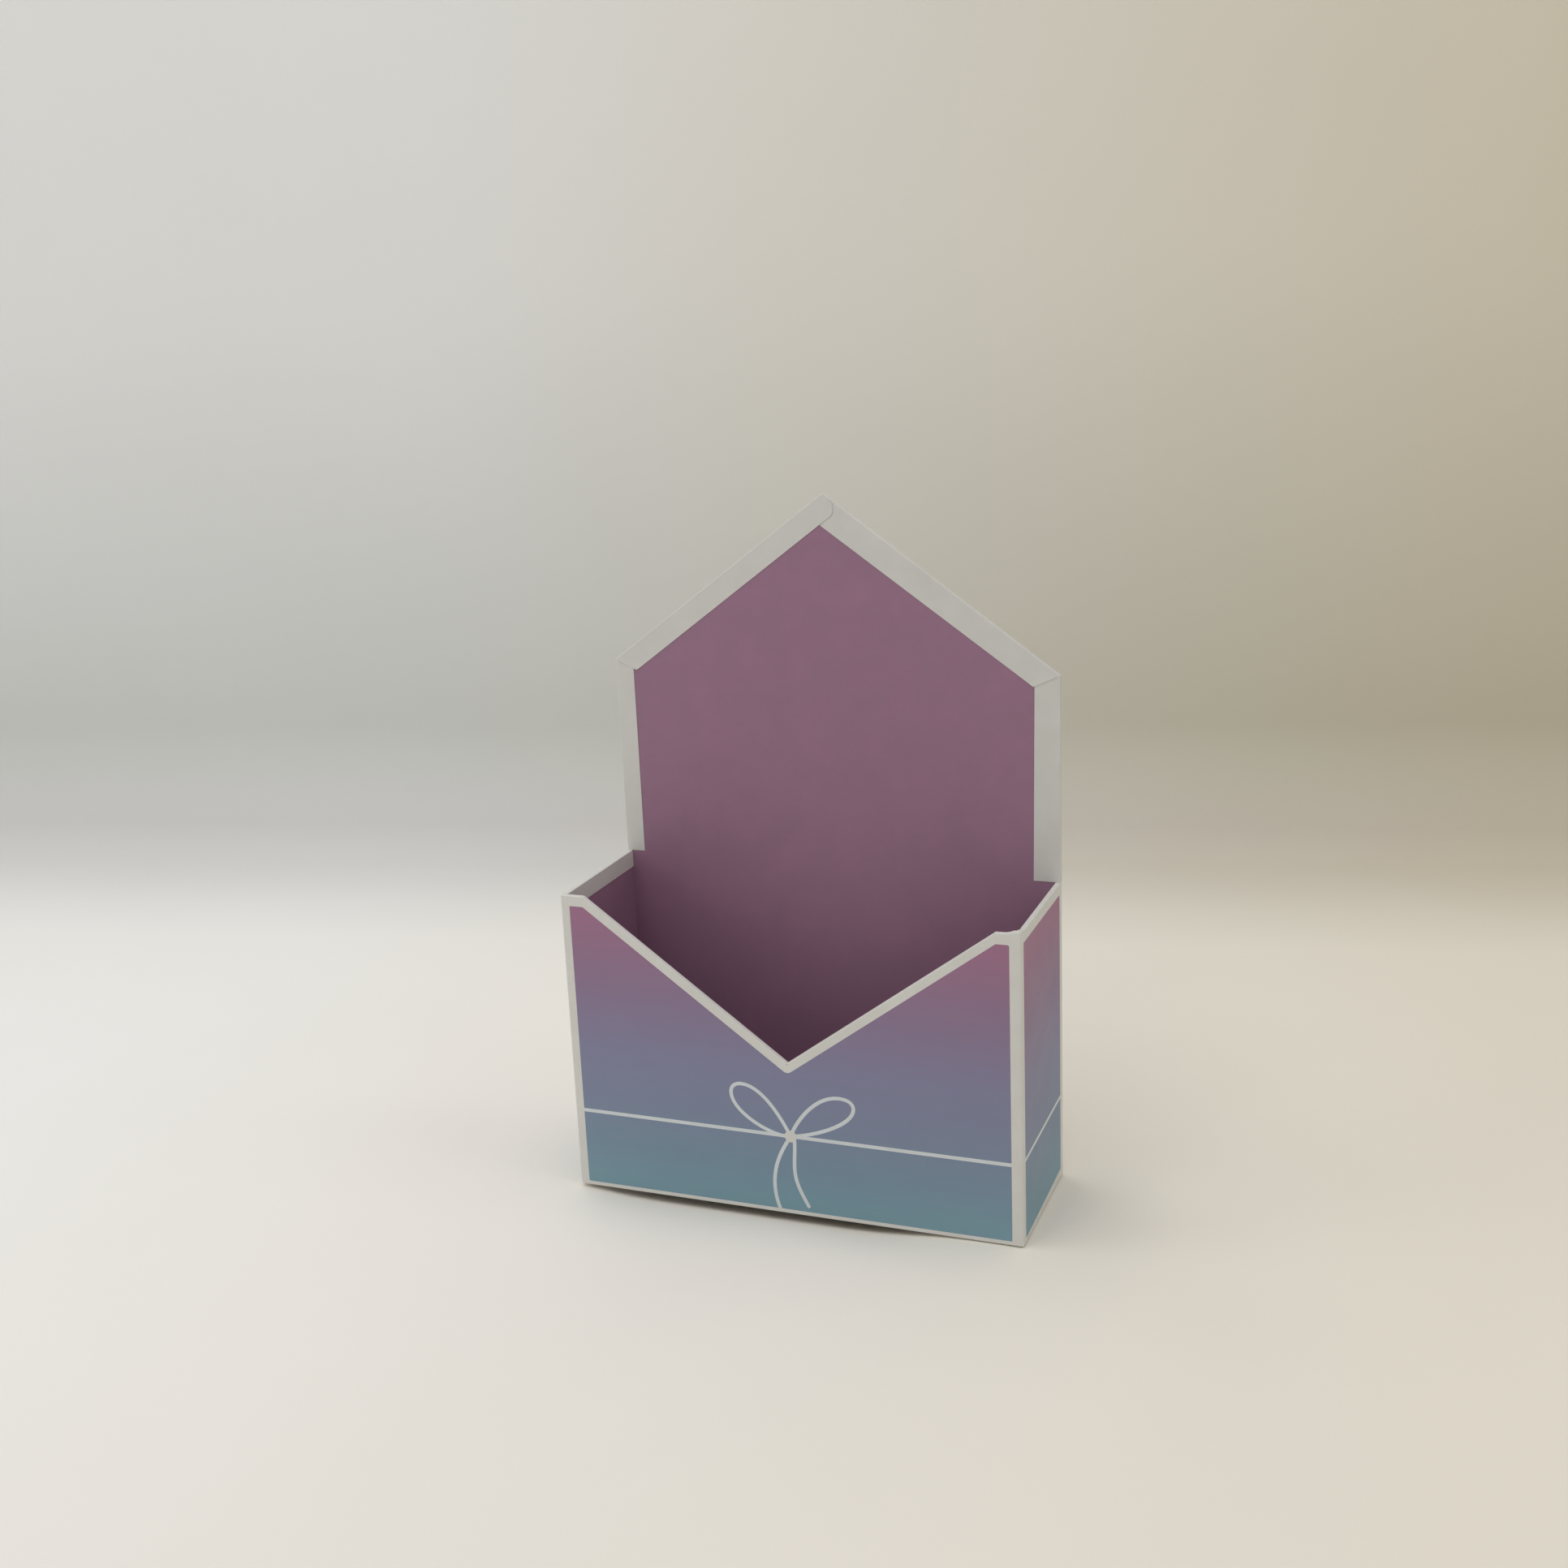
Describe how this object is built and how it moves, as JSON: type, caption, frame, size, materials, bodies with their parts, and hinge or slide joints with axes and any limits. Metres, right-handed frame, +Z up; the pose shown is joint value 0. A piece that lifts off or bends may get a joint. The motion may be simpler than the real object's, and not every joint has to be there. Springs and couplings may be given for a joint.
{
  "type": "flower gift box",
  "caption": "Shallow rigid board box for a bouquet, with a low V-notched front, a tall gabled back, and a printed paper wrap with a bow line.",
  "frame": {"origin": "centre of the box's footprint on the surface that it stands on", "axes": "+Z up, notched front faces -Y, tall back at +Y, +X to the right seen from the front"},
  "size_m": [0.22, 0.076, 0.326],
  "materials": {
    "greyboard": "raw grey chipboard, matt, with a short fibre fleck",
    "stay_paper": "brown gummed paper, matt",
    "printed_paper": "coated paper, satin, printed with an upright fade from pink-mauve through violet-blue to teal inside white borders, with a white band line and a line-drawn bow",
    "white_paper": "white coated paper, satin, slightly cloudy",
    "mauve_paper": "coated paper printed an even mauve, satin"
  },
  "bodies": {
    "root": {"base_board": "greyboard", "front_board": "greyboard", "back_board": "greyboard", "left_side_board": "greyboard", "right_side_board": "greyboard", "front_left_corner_stay": "stay_paper", "back_left_corner_stay": "stay_paper", "front_right_corner_stay": "stay_paper", "back_right_corner_stay": "stay_paper", "front_liner": "mauve_paper", "back_liner": "mauve_paper", "left_side_liner": "mauve_paper", "right_side_liner": "mauve_paper", "base_liner": "mauve_paper", "front_and_sides_wrap": "printed_paper", "back_wrap": "white_paper", "base_cover_sheet": "white_paper"}
  },
  "joints": []
}
